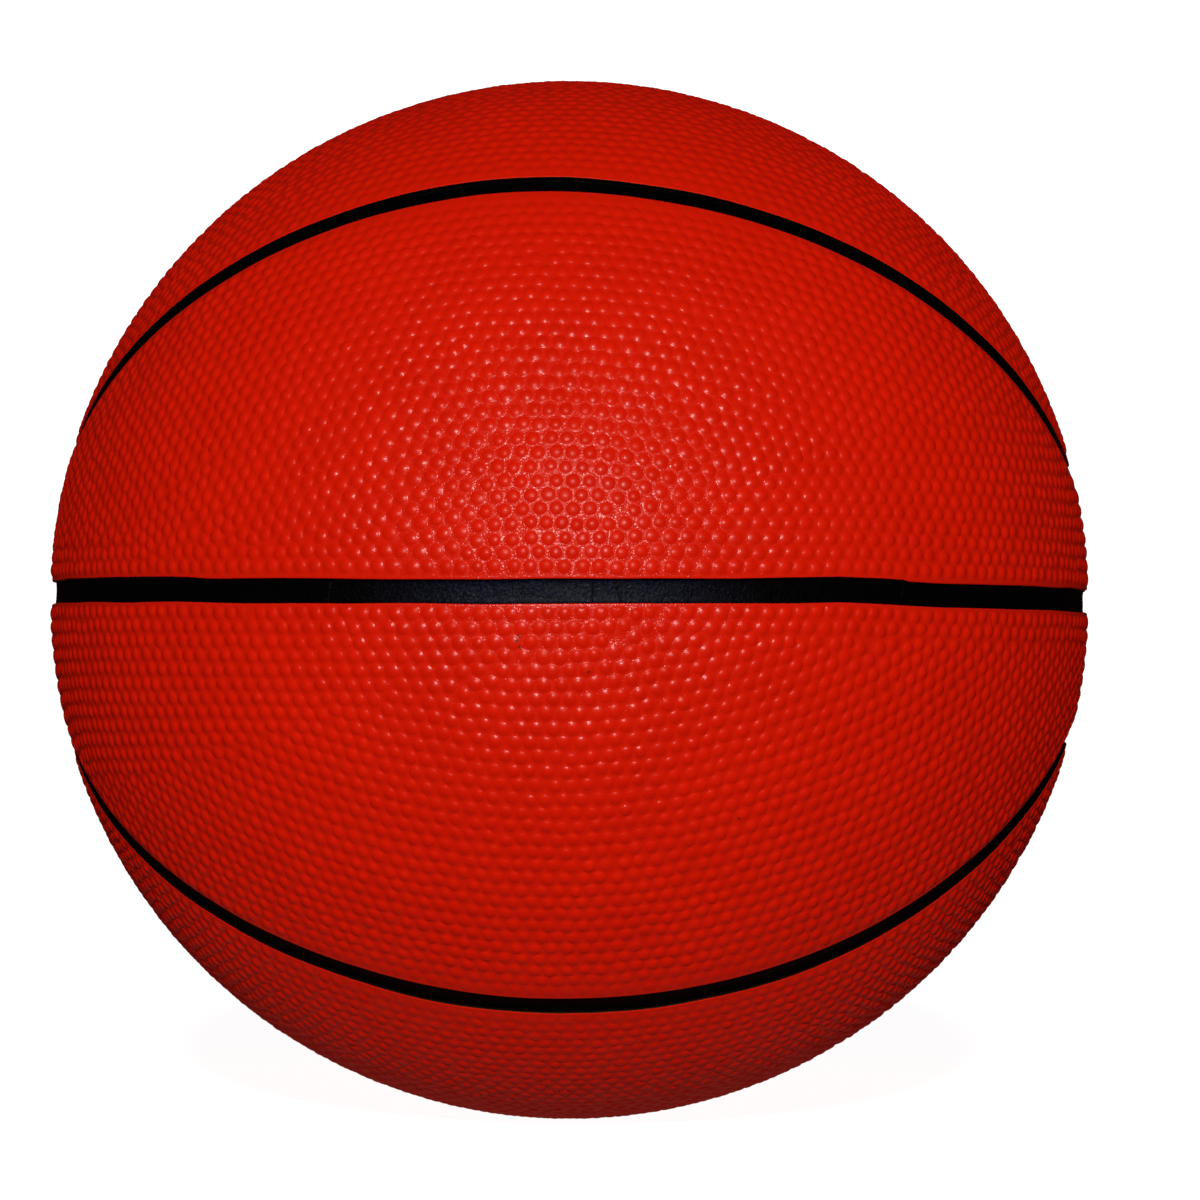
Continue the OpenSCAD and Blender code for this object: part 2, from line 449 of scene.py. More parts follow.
def flattened(points, normal):
    """Stereographic coordinates, in which circles of the sphere stay circles."""
    first, second = plane_axes(normal)
    share = 1 + points @ normal
    return np.stack([points @ first / share, points @ second / share], axis=1)


def triangulated(points, normal, loops):
    """Triangles over directions, kept within closed loops of their numbers."""
    flat = flattened(points, normal)
    coords = [Vector(p) for p in flat]
    edges = [(int(a), int(b)) for loop in loops for a, b in zip(loop, np.roll(loop, -1))]
    inside_only = 1 if loops else 0
    _, _, faces, origin, _, _ = delaunay_2d_cdt(coords, edges, [], inside_only, SAME_PLACE)
    number = np.array([o[0] for o in origin])
    faces = number[np.array([f for f in faces if len(f) == 3])]
    a, b, c = (flat[faces[:, k]] for k in range(3))
    turn = (b - a)[:, 0] * (c - a)[:, 1] - (b - a)[:, 1] * (c - a)[:, 0]
    faces[turn < 0] = faces[turn < 0][:, ::-1]
    return faces


def stained(points):
    """How dirty the cover is at points in millimetres."""
    dirt = np.zeros(len(points))
    for x, y, reach in STAINS:
        gap = np.linalg.norm(points - seen_at(x, y) * BALL_R, axis=1)
        dirt = np.maximum(dirt, np.clip(STAIN_CORE - gap / reach, 0, 1))
    return dirt


def column_of(points):
    """The pixel columns of the photo at which points in millimetres are seen."""
    depth = CAMERA_RADII * BALL_R - points @ toward
    return BALL_CENTRE_PX[0] + focal_px * (points @ view_right) / depth


def wandered(points):
    """Points in millimetres, moved up or down on the ball as its channels drift."""
    column = column_of(points)
    loop_z = np.hypot(LOOP_Z, LOOP_SLOPE * points[:, 1])
    drop = np.zeros(len(points))
    for line_z, drift in ((0, EQUATOR_DRIFT), (loop_z, UPPER_DRIFT), (-loop_z, LOWER_DRIFT)):
        columns, drops = zip(*drift)
        near = np.exp(-(((points[:, 2] - line_z) / DRIFT_REACH) ** 2))
        drop += near * np.interp(column, columns, drops)
    drop *= np.clip(1 - points[:, 1] / DRIFT_BACK, 0, 1)
    z = points[:, 2] - drop / PX_PER_MM
    squared = (points**2).sum(axis=1)
    across = np.hypot(points[:, 0], points[:, 1])
    share = np.sqrt(squared - z**2) / np.maximum(across, AXIS_CLEAR)
    return np.stack([points[:, 0] * share, points[:, 1] * share, z], axis=1)


def paint_over(points):
    """How far the paint covers the lip at points in millimetres."""
    columns, reach = zip(*PAINT_OVER)
    lip = (points[:, 1] < 0) & (points[:, 2] > 0) & (points[:, 2] < PAINT_OVER_TOP)
    return lip * np.interp(column_of(points), columns, reach)


class Mesh:
    """Collects the corners and faces of a piece."""

    def __init__(self):
        self.points = []
        self.triangles = []
        self.values = {"edge": [], "dome": [], "tone": []}
        self.count = 0

    def add(self, points, edge=FAR_FROM_EDGE, dome=0.0, tone=0.5):
        """Adds points in millimetres and returns their numbers."""
        first = self.count
        self.points.append(points)
        for name, value in (("edge", edge), ("dome", dome), ("tone", tone)):
            self.values[name].append(np.broadcast_to(value, len(points)).astype(float))
        self.count += len(points)
        return np.arange(first, self.count)

    def face(self, *corners):
        """Adds triangles fanned over equal arrays of corner numbers."""
        corners = np.broadcast_arrays(*corners)
        for second, third in zip(corners[1:], corners[2:]):
            fan = np.stack([corners[0], second, third], axis=-1)
            self.triangles.append(fan.reshape(-1, 3))

    def strip(self, lower, upper, closed=True):
        """Joins two rows of points, seen with lower below and both running right."""
        if closed:
            self.face(lower, np.roll(lower, -1), np.roll(upper, -1), upper)
        else:
            self.face(lower[:-1], lower[1:], upper[1:], upper[:-1])

    def build(self, name, mirror=(1, 1, 1)):
        """Makes the object, mirrored in the planes whose factors are -1."""
        points = np.concatenate(self.points) * mirror
        self.values["edge"] = [np.concatenate(self.values["edge"]) - paint_over(points)]
        self.values["stain"] = [stained(points)]
        points = wandered(points) * MM
        used, triangles = np.unique(np.concatenate(self.triangles), return_inverse=True)
        triangles = triangles.reshape(-1, 3)
        if np.prod(mirror) < 0:
            triangles = triangles[:, ::-1]
        mesh = bpy.data.meshes.new(name)
        mesh.from_pydata(points[used], [], triangles)
        for key, parts in self.values.items():
            layer = mesh.attributes.new(key, "FLOAT", "POINT")
            layer.data.foreach_set("value", np.concatenate(parts)[used].astype(np.float32))
        mesh.shade_smooth()
        mesh.validate()
        obj = bpy.data.objects.new(name, mesh)
        bpy.context.scene.collection.objects.link(obj)
        return obj


def numbered(first, parts):
    """Consecutive numbers from first on for the points of each part."""
    ends = first + np.cumsum([len(part) for part in parts])
    return [np.arange(end - len(part), end) for end, part in zip(ends, parts)]


def outside_hole(points, faces, rim, share):
    """The faces that lie farther from the rim's middle than that share of its radius."""
    middle = unit(rim.mean(axis=0))
    gap = np.linalg.norm(unit(points[faces].mean(axis=1)) - middle, axis=1)
    return faces[gap > np.linalg.norm(rim[0] - middle) * share]


def weighted_middles(points, corners, weight):
    """The direction in the middle of each row of corners, by the corners' weights."""
    share = weight[corners]
    total = (points[corners] * share[..., None]).sum(axis=1)
    return unit(total / share.sum(axis=1)[:, None])


def add_field(mesh, rng, sites, heights, borders):
    """Meshes the pebbled surface inside the first border and outside the others, each
    a pair of directions and corner numbers. Odd points are the middles of edges."""
    count = len(sites)
    rims = [directions[::2] for directions, _ in borders]
    loops = numbered(count, rims)
    points = np.concatenate([sites, *rims])
    is_site = np.arange(len(points)) < count
    faces = triangulated(points, unit(borders[0][0].mean(axis=0)), loops)
    for rim, _ in borders[1:]:
        faces = outside_hole(points, faces, rim, HOLE_SHARE)

    corner = np.zeros(len(points), int)
    radius = np.clip(rng.normal(PEBBLE_R, PEBBLE_R_SPREAD, count), *PEBBLE_R_RANGE)
    rise = heights * rng.normal(PEBBLE_H, PEBBLE_H_SPREAD, count)
    tone = rng.uniform(0, 1, len(points))
    tops = sites * (BALL_R + rise)[:, None]
    corner[:count] = mesh.add(tops, dome=heights, tone=tone[:count])
    for loop, (_, numbers) in zip(loops, borders):
        corner[loop] = numbers[::2]

    weight = np.where(is_site, 1.0, BORDER_WEIGHT)
    # Every edge has a base point between its ends, every triangle one in its middle
    pairs = np.stack([faces, np.roll(faces, -1, axis=1)], axis=-1).reshape(-1, 2)
    low, high = pairs.min(axis=1), pairs.max(axis=1)
    keys, edge_of = np.unique(low * len(points) + high, return_inverse=True)
    ends = np.stack([keys // len(points), keys % len(points)], axis=1)
    between = weighted_middles(points, ends, weight)
    edge_corner = mesh.add(between * BALL_R)
    for loop, (directions, numbers) in zip(loops, borders):
        follow = np.roll(loop, -1)
        key = np.minimum(loop, follow) * len(points) + np.maximum(loop, follow)
        at = np.searchsorted(keys, key)
        edge_corner[at] = numbers[1::2]
        between[at] = directions[1::2]
    centre = weighted_middles(points, faces, weight)
    face_corner = mesh.add(centre * BALL_R)
    edge_of = edge_of.reshape(-1, 3)

    # Rays from every site to its base points, with the dome's rings on them
    nearest = np.full(len(points), FARTHEST_SITE)
    lengths = apart(points[ends[:, 0]], points[ends[:, 1]])
    both = is_site[ends].all(axis=1)
    for k in (0, 1):
        np.minimum.at(nearest, ends[both, k], lengths[both])
    radius = np.minimum(radius, np.maximum(NEIGHBOUR_SHARE * nearest[:count], LEAST_FOOT_R))
    ray_site = np.concatenate([ends[:, 0], ends[:, 1], faces.ravel()])
    ray_end = np.concatenate([between, between, np.repeat(centre, 3, axis=0)])
    ray_site = np.where(ray_site < count, ray_site, 0)
    way = ray_end - sites[ray_site]
    reach = np.linalg.norm(way, axis=1) * BALL_R
    wanted = radius[ray_site] * rng.uniform(*FOOT_SPREAD, len(reach))
    fit = np.minimum(wanted, MOST_REACH * reach) / reach
    rings = []
    for part, level in zip(DOME_RINGS, DOME_HEIGHTS):
        place = unit(sites[ray_site] + way * (fit * part)[:, None])
        place = place * (BALL_R + rise[ray_site] * level)[:, None]
        rings.append(mesh.add(place, dome=heights[ray_site] * level, tone=tone[ray_site]))

    edges = len(ends)
    for k in range(3):
        here, back = faces[:, k], (k + 2) % 3
        out_edge, in_edge = edge_of[:, k], edge_of[:, back]
        on = here < count
        ray_out = np.where(here == ends[out_edge, 0], out_edge, out_edge + edges)
        ray_in = np.where(here == ends[in_edge, 0], in_edge, in_edge + edges)
        ray_mid = 2 * edges + 3 * np.arange(len(faces)) + k
        for u, v, base_u, base_v in (
            (ray_out, ray_mid, edge_corner[out_edge], face_corner),
            (ray_mid, ray_in, face_corner, edge_corner[in_edge]),
        ):
            u, v, base_u, base_v = (x[on] for x in (u, v, base_u, base_v))
            mesh.face(corner[here[on]], rings[0][u], rings[0][v])
            for upper, lower in zip(rings, rings[1:]):
                mesh.face(upper[u], lower[u], lower[v], upper[v])
            mesh.face(rings[-1][u], base_u, base_v, rings[-1][v])
        off = ~on
        before, after = edge_corner[out_edge[off]], edge_corner[in_edge[off]]
        mesh.face(corner[here[off]], before, face_corner[off], after)


def add_wall(mesh, levels):
    """Adds a wall's rings from the top down, each from its directions, height and value
    of edge, and returns the directions and corner numbers of each."""
    rings = [(place, mesh.add(place * (BALL_R + h), edge=edge)) for place, h, edge in levels]
    for (_, upper), (_, lower) in zip(rings, rings[1:]):
        mesh.strip(lower, upper)
    return rings


def valve_hole():
    """The axis of the valve and the rings of the wall round its hole."""
    angle = math.radians(VALVE_ANGLE)
    axis = np.array([0, -math.cos(angle), math.sin(angle)])
    first, second = plane_axes(axis)
    turn = np.linspace(0, 2 * math.pi, VALVE_SIDES, endpoint=False)[::-1, None]
    circle = np.cos(turn) * first + np.sin(turn) * second
    levels = []
    for s, h in LIP:
        radius = WALL_HOLE_R + s * VALVE_LIP_SCALE
        levels.append((unit(axis + circle * radius / BALL_R), h, FAR_FROM_EDGE))
    return axis, levels


def cover_panel(name, kind, seed, mirror, flaws=(), valve=False):
    """One pebbled cover panel."""
    rng = np.random.default_rng(seed)
    mesh = Mesh()
    counts = [2 * round(parts_of(side, EDGE_STEP)) for side in kind.sides(0)]
    outer, inner = (ring_of(kind.sides(s), counts) for s in (0, EDGE_PROBE))
    drift = EDGE_WOBBLE * smooth_noise(rng, len(outer), WOBBLE_SPAN)
    shift = (inner - outer) * drift[:, None] / EDGE_PROBE
    outer, inner = unit(outer + shift), unit(inner + shift)
    lip = [(unit(outer + (inner - outer) * s / EDGE_PROBE), h, s + h * LIP_LEAN) for s, h in LIP]
    walls = [add_wall(mesh, lip)]
    sites, heights = pebble_sites(rng, kind)
    for place, reach, share in flaws:
        heights = np.where(apart(sites, place) < reach, heights * share, heights)
    if valve:
        axis, levels = valve_hole()
        walls.append(add_wall(mesh, levels))
        keep = apart(sites, axis) > WALL_HOLE_R + VALVE_CLEAR + PEBBLE_R
        sites, heights = sites[keep], heights[keep]
    full = heights > FLAT_BELOW
    add_field(mesh, rng, sites[full], heights[full], [wall[0] for wall in walls])
    add_underside(mesh, sites[::UNDERSIDE_STEP], [wall[-1] for wall in walls])
    return mesh.build(name, mirror)


def add_underside(mesh, inner, bottoms):
    """Closes a panel below, from the lowest rings of its walls."""
    rims = [directions for directions, _ in bottoms]
    numbers = []
    for directions, upper in bottoms:
        under = mesh.add(directions * (BALL_R + PANEL_BOTTOM), edge=UNDER_EDGE)
        mesh.strip(under, upper)
        numbers.append(under)
        gaps = apart(inner[:, None], directions[None, ::RIM_STEP])
        inner = inner[gaps.min(axis=1) > UNDERSIDE_CLEAR]
    numbers.append(mesh.add(inner * (BALL_R + PANEL_BOTTOM), edge=UNDER_EDGE))
    points, numbers = np.concatenate([*rims, inner]), np.concatenate(numbers)
    faces = triangulated(points, unit(rims[0].mean(axis=0)), numbered(0, rims))
    for rim in rims[1:]:
        faces = outside_hole(points, faces, rim, 1.0)
    mesh.face(numbers[faces[:, 0]], numbers[faces[:, 2]], numbers[faces[:, 1]])


# How far the rows of a panel's main edge reach, from left to right: places across the
# panel and distances from that edge
BELT_SEAM = ((-12, 0, 100), (7, 12, 41))
CAP_SEAM = ((-7, 7, 60, 100, 118), (4, 41, 35, 17, 5))

BELT = Panel(
    sides=belt_sides, main=0, other=2, ends=(1, 3),
    first_main=2.75, first_other=2.7, rows=34, seam=BELT_SEAM,
    fade=((2.7, 5.9, 9.2, 12.4, 16.0), (0.32, 0.65, 0.85, 0.95, 1.0)),
)
LOW_BELT = BELT._replace(first_main=2.2, fade=((2.7, 5.9, 9.2), (0.5, 0.8, 1.0)))
CAP = Panel(
    sides=cap_sides, main=1, other=0, ends=(),
    first_main=2.75, first_other=2.7, rows=30, seam=CAP_SEAM,
    fade=((2.7, 5.9, 9.2), (0.5, 0.65, 0.75)),
)

# Where the photo looks from
yaw, tilt, roll = (math.radians(a) for a in (CAMERA_YAW, CAMERA_TILT, CAMERA_ROLL))
toward = np.array([
    math.sin(yaw) * math.cos(tilt), -math.cos(yaw) * math.cos(tilt), math.sin(tilt),
])
level = np.array([math.cos(yaw), math.sin(yaw), 0.0])
upward = np.cross(toward, level)
view_right = math.cos(roll) * level + math.sin(roll) * upward
view_up = -math.sin(roll) * level + math.cos(roll) * upward
focal_px = BALL_RADIUS_PX * math.sqrt(CAMERA_RADII**2 - 1)


def seen_at(x, y):
    """The direction of the ball's point at a pixel of the photo."""
    across, down = x - BALL_CENTRE_PX[0], y - BALL_CENTRE_PX[1]
    ray = unit(-toward + view_right * across / focal_px - view_up * down / focal_px)
    along = -(ray @ toward) * CAMERA_RADII
    depth = along - math.sqrt(along**2 - CAMERA_RADII**2 + 1)
    return toward * CAMERA_RADII + ray * depth


# Places where the mould left no pebble or a flat one: pixel, reach and share of the height
BARE_SPOTS = ((541, 250, 1.5, 0.1), (574, 310, 1.9, 0.7))
flaws = [(seen_at(x, y), reach, share) for x, y, reach, share in BARE_SPOTS]

# The panels: the words of their names, their kind, and 1 above or -1 below the equator.
# Each comes in front and at the back. The first has the flawed pebbles and the second
# the valve's hole.
PANELS = (
    ("belt", "upper", BELT, 1),
    ("belt", "lower", LOW_BELT, -1),
    ("cap", "top", CAP, 1),
    ("cap", "bottom", CAP, -1),
)
SIDES = (("front", 1), ("back", -1))
FLAWED_PANEL = 0
VALVE_PANEL = 1


# The colour sockets of a mixing node
MIX_A, MIX_B, MIX_RESULT = 6, 7, 2


class Shading:
    """The nodes of a material or of the world, with short ways to add more."""

    def __init__(self, tree):
        self.nodes = tree.nodes
        self.links = tree.links

    def feed(self, socket, value):
        """Gives a socket a number, a colour or another node's output."""
        if isinstance(value, bpy.types.NodeSocket):
            self.links.new(value, socket)
        elif isinstance(value, tuple):
            socket.default_value = (*value, 1)
        else:
            socket.default_value = value

    def noise(self, waves, detail=4.0, bend=0.0):
        """Noise over the object's own coordinates, in waves a metre."""
        place = self.nodes.new("ShaderNodeTexCoord")
        node = self.nodes.new("ShaderNodeTexNoise")
        self.feed(node.inputs["Scale"], waves)
        self.feed(node.inputs["Detail"], detail)
        self.feed(node.inputs["Distortion"], bend)
        self.feed(node.inputs["Vector"], place.outputs["Object"])
        return node.outputs["Fac"]

    def ramp(self, source, first, last):
        """A colour ramp between two stops, each a place and a colour."""
        node = self.nodes.new("ShaderNodeValToRGB")
        for element, (place, colour) in zip(node.color_ramp.elements, (first, last)):
            element.position = place
            element.color = (*colour, 1)
        self.feed(node.inputs["Fac"], source)
        return node.outputs["Color"]

    def attribute(self, name):
        """A mesh attribute of one number."""
        node = self.nodes.new("ShaderNodeAttribute")
        node.attribute_name = name
        return node.outputs["Fac"]

    def calc(self, operation, *values):
        """The result of an operation on values, each a number or a node's output."""
        node = self.nodes.new("ShaderNodeMath")
        node.operation = operation
        for value, socket in zip(values, node.inputs):
            self.feed(socket, value)
        return node.outputs["Value"]

    def share(self, value, factor, offset):
        """A value times a factor plus an offset, kept between 0 and 1."""
        made = self.calc("MULTIPLY_ADD", value, factor, offset)
        made.node.use_clamp = True
        return made

    def mix(self, share, a, b):
        """A colour between a and b."""
        node = self.nodes.new("ShaderNodeMix")
        node.data_type = "RGBA"
        self.feed(node.inputs["Factor"], share)
        self.feed(node.inputs[MIX_A], a)
        self.feed(node.inputs[MIX_B], b)
        return node.outputs[MIX_RESULT]

    def relief(self, socket, height, strength, depth):
        """Feeds fine relief, its depth in metres, into one of the shader's normals."""
        node = self.nodes.new("ShaderNodeBump")
        self.feed(node.inputs["Strength"], strength)
        self.feed(node.inputs["Distance"], depth)
        self.feed(node.inputs["Height"], height)
        self.feed(socket, node.outputs["Normal"])


def new_material(name, roughness, colour, specular=0.5):
    """A material with one surface shader, its nodes and the shader's sockets."""
    material = bpy.data.materials.new(name)
    material.use_nodes = True
    shade = Shading(material.node_tree)
    sockets = shade.nodes["Principled BSDF"].inputs
    shade.feed(sockets["Base Color"], colour)
    shade.feed(sockets["Roughness"], roughness)
    shade.feed(sockets["Specular IOR Level"], specular)
    return material, shade, sockets


# Red cover rubber. Noises are given as waves a metre, detail and bend, reliefs as
# strength and depth, and shares as the factor and the offset that make them.
COVER_DARK = (0.59, 0.0075, 0.0008)
COVER_BRIGHT = (0.685, 0.01, 0.001)
# A darker red for the flat gaps between the pebbles: painted shade between the domes
COVER_GAP_SHADE = (0.63, 0.009, 0.0009)
COVER_TONES = ((0.35, COVER_DARK), (0.65, COVER_BRIGHT))
COVER_SHINE = (1.0, 0.35, 0.18)
COVER_ROUGHNESS = 0.44
COVER_SPECULAR = 0.14
COVER_BROAD = (60,)
COVER_GRAIN = (2400, 1.5)
COVER_RELIEF = (0.25, 0.00018)
LEAST_GRAIN = 0.4
DIRT = (0.05, 0.008, 0.004)
STROKES = (900, 3, 1.5)
DIRT_SHARE = (8.0, -3.8)
PAINT = (0.0006, 0.0006, 0.0008)
RAGGED = (500, 5)
PAINT_REACH = 0.04
PAINT_WANDER = 0.15
COAT_ROUGHNESS = 0.27
COAT_IOR = 1.5
COAT_RELIEF = (1.0, 0.00011)
SPECKS = (2700, 1)
SPECK_SHARE = (3.6, -1.65)
GAP_SHARE = (-5.0, 1.0)
DOME_SHARE = (5.0, 0.0)
FLANK_SHARE = (-0.3, 0.48)
OWN_SHARE = (0.8, 0.2)
LIP_SHARE = (-2.0, 1.3)
FIELD_SHARE = (5.0, -0.8)


def cover_material():
    """Red rubber with dirt, painted shade in the gaps between the pebbles, paint on the lips, and a
    coat that glints.
    """
    material, shade, sockets = new_material(
        "cover_rubber", COVER_ROUGHNESS, COVER_BRIGHT, COVER_SPECULAR
    )
    shade.feed(sockets["Specular Tint"], COVER_SHINE)
    tones = shade.ramp(shade.noise(*COVER_BROAD), *COVER_TONES)
    dome = shade.attribute("dome")
    # The flat gaps between the pebbles, where dome is 0, get the darker red: painted shade between
    # the domes
    red = shade.mix(dome, COVER_GAP_SHADE, tones)
    # Dirt lies in ragged strokes
    dirt = shade.calc("MULTIPLY", shade.attribute("stain"), shade.noise(*STROKES))
    red = shade.mix(shade.share(dirt, *DIRT_SHARE), red, DIRT)
    # The black paint ends unevenly on the lips
    edge = shade.attribute("edge")
    wander = shade.calc("SUBTRACT", shade.noise(*RAGGED), 0.5)
    wander = shade.calc("MULTIPLY", wander, PAINT_WANDER)
    border = shade.calc("ADD", shade.calc("SUBTRACT", edge, PAINT_REACH), wander)
    bare = shade.calc("GREATER_THAN", border, 0.0)
    shade.feed(sockets["Base Color"], shade.mix(bare, PAINT, red))
    # A thin coat adds a white point on every pebble, stronger on some than on others,
    # and bright grains between them and along the lips
    shade.feed(sockets["Coat Roughness"], COAT_ROUGHNESS)
    shade.feed(sockets["Coat IOR"], COAT_IOR)
    gap = shade.share(dome, *GAP_SHARE)
    gloss = shade.calc("MULTIPLY", gap, shade.share(shade.noise(*SPECKS), *SPECK_SHARE))
    flank = shade.share(dome, *FLANK_SHARE)
    flank = shade.calc("MULTIPLY", flank, shade.share(dome, *DOME_SHARE))
    own = shade.share(shade.attribute("tone"), *OWN_SHARE)
    gloss = shade.calc("MAXIMUM", gloss, shade.calc("MULTIPLY", flank, own))
    gloss = shade.calc("MAXIMUM", gloss, shade.share(edge, *LIP_SHARE))
    gloss = shade.calc("MULTIPLY", gloss, shade.share(edge, *FIELD_SHARE))
    shade.feed(sockets["Coat Weight"], gloss)
    rough_share = shade.calc("MAXIMUM", gap, LEAST_GRAIN)
    grain = shade.calc("MULTIPLY", shade.noise(*COVER_GRAIN), rough_share)
    shade.relief(sockets["Normal"], grain, *COVER_RELIEF)
    shade.relief(sockets["Coat Normal"], grain, *COAT_RELIEF)
    return material


# Black channel rubber, dull at most places, with painted sheen at the middle of the front and
# painted shade in its cracks
CHANNEL_ROUGHNESS = 0.4
CHANNEL_SPECULAR = 0.035
# The darkest grain colour of the channel, also used as painted shade inside the cracks
DARK_GRAIN_AND_CRACK_SHADE = (0.0003, 0.0003, 0.0004)
DULL_TONES = ((0.35, DARK_GRAIN_AND_CRACK_SHADE), (0.7, (0.0009, 0.001, 0.0014)))
# Brighter bluish tones of the painted sheen, where the key lamp's highlight falls
PAINTED_SHEEN_TONES = ((0.45, (0.001, 0.0016, 0.0055)), (0.66, (0.0055, 0.0072, 0.0185)))
CRACK_SHADE_STRENGTH = 3.0
CHANNEL_GRAIN = (1500, 5)
CHANNEL_RELIEF = (0.8, 0.00025)
SHEEN_COAT_ROUGHNESS = 0.25
SHEEN_COAT_IOR = 1.4
SHEEN_GLOSS = (0.06, 0.0)
WRINKLES = (900, 2, 1.2)
WRINKLE_RELIEF = (1.0, 0.0004)


def channel_material():
    """Black rubber, with a brighter bluish painted sheen and wrinkles where the attribute tone is
    high, and painted shade in its cracks.
    """
    material, shade, sockets = new_material(
        "channel_rubber", CHANNEL_ROUGHNESS, PAINT, CHANNEL_SPECULAR
    )
    grain = shade.noise(*CHANNEL_GRAIN)
    # tone carries the painted sheen: a brighter bluish colour where the key lamp's highlight falls
    sheen_share = shade.attribute("tone")
    colour = shade.mix(
        sheen_share, shade.ramp(grain, *DULL_TONES), shade.ramp(grain, *PAINTED_SHEEN_TONES)
    )
    # Cracks, whose depth the attribute dome holds, get painted shade that darkens them toward near
    # black
    crack_shade = shade.calc("MULTIPLY", shade.attribute("dome"), CRACK_SHADE_STRENGTH)
    shade.feed(sockets["Base Color"], shade.mix(crack_shade, colour, DARK_GRAIN_AND_CRACK_SHADE))
    shade.relief(sockets["Normal"], grain, *CHANNEL_RELIEF)
    # Wrinkles catch the light in the patch of painted sheen, where a coat lies on them
    shade.feed(sockets["Coat Roughness"], SHEEN_COAT_ROUGHNESS)
    shade.feed(sockets["Coat IOR"], SHEEN_COAT_IOR)
    shade.feed(sockets["Coat Weight"], shade.share(sheen_share, *SHEEN_GLOSS))
    shade.relief(sockets["Coat Normal"], shade.noise(*WRINKLES), *WRINKLE_RELIEF)
    return material


# Inner materials
PLAIN_STOPS = (0.3, 0.7)
PLAIN_DARKER = 0.7
PLAIN_RELIEF = (0.3, 0.0001)


def plain_material(name, colour, roughness, waves):
    """One colour with darker spots and fine grain."""
    material, shade, sockets = new_material(name, roughness, colour)
    grain = shade.noise(waves)
    darker = tuple(PLAIN_DARKER * c for c in colour)
    tones = shade.ramp(grain, *zip(PLAIN_STOPS, (darker, colour)))
    shade.feed(sockets["Base Color"], tones)
    shade.relief(sockets["Normal"], grain, *PLAIN_RELIEF)
    return material


cover_rubber = cover_material()
channel_rubber = channel_material()


def finished(obj, material, slot, *nodes):
    """Gives a new piece its material and body, and hides the nodes it replaces; slot is not used.
    """
    obj.data.materials.clear()
    obj.data.materials.append(material)
    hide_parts(*nodes)
    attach(obj, "root")


# The map of a panel: how deep its upper side reaches, how small its underside is, the
# gap between them and the margin
MAP_TOP_DEPTH = 0.9
MAP_UNDER_SCALE = 0.2
MAP_GAP = 0.02
MAP_MARGIN = 0.01


def lay_out(obj, mirror):
    """A map in which the panel's surface lies flat, seen from above it, with its
    underside beside it."""
    mesh = obj.data
    points = np.zeros(3 * len(mesh.vertices), np.float32)
    mesh.vertices.foreach_get("co", points)
    points = points.reshape(-1, 3).astype(float) / MM * mirror
    radius = np.linalg.norm(points, axis=1)
    directions = points / radius[:, None]
    top = radius > BALL_R - MAP_TOP_DEPTH
    normal = unit(directions[top].mean(axis=0))
    first, second = plane_axes(normal)
    flat = np.stack([directions @ first, directions @ second], axis=1)
    flat = flat * np.sqrt(2 / (1 + directions @ normal))[:, None]
    corners = np.zeros(len(mesh.loops), np.int32)
    mesh.loops.foreach_get("vertex_index", corners)
    low = np.repeat((~top)[corners].reshape(-1, 3).any(axis=1), 3)
    width, height = flat.max(axis=0) - flat.min(axis=0)
    uv = flat[corners] - flat.min(axis=0)
    uv[low] = uv[low] * MAP_UNDER_SCALE + [0, height + MAP_GAP]
    tall = height * (1 + MAP_UNDER_SCALE) + 2 * MAP_GAP
    uv = uv / max(width, tall) * (1 - 2 * MAP_MARGIN) + MAP_MARGIN
    layer = mesh.uv_layers.new(name="OFBake")
    layer.data.foreach_set("uv", uv.astype(np.float32).ravel())


for number, ((word, place, kind, up), (side, near)) in enumerate(product(PANELS, SIDES)):
    mirror = (up * near, near, up)
    panel = cover_panel(
        f"cover_{word}_{place}_{side}", kind, FIRST_SEED + number, mirror,
        flaws if number == FLAWED_PANEL else (), number == VALVE_PANEL,
    )
    lay_out(panel, mirror)
    finished(panel, cover_rubber, "cover_rubber", f"{word}_panel_{place}_{side}")


# Channels: share of the way across and height above the floor of each ring
CHANNEL_RINGS = (
    (0.0, 0.3), (0.03, 0.16), (0.12, 0.05), (0.28, 0.0), (0.5, 0.0), (0.72, 0.0),
    (0.88, 0.05), (0.97, 0.16), (1.0, 0.3),
)
CHANNEL_MIDDLE = (0.1, 0.9)
CHANNEL_GRAIN_H = 0.035
CHANNEL_WAVE_H = 0.03
CHANNEL_WAVE_SPAN = 12
STRIP_BOTTOM_R = COVER_IN_R + 0.03
STRIP_STEP = 0.8
EDGE_GAP = 0.02
LOOP_START = 0.02
EQUATOR_SEED = 31
LOOP_SEEDS = (32, 33)
MERIDIAN_SEED = 34
LINK_SEED = 35
strip_half = HALF_W - EDGE_GAP


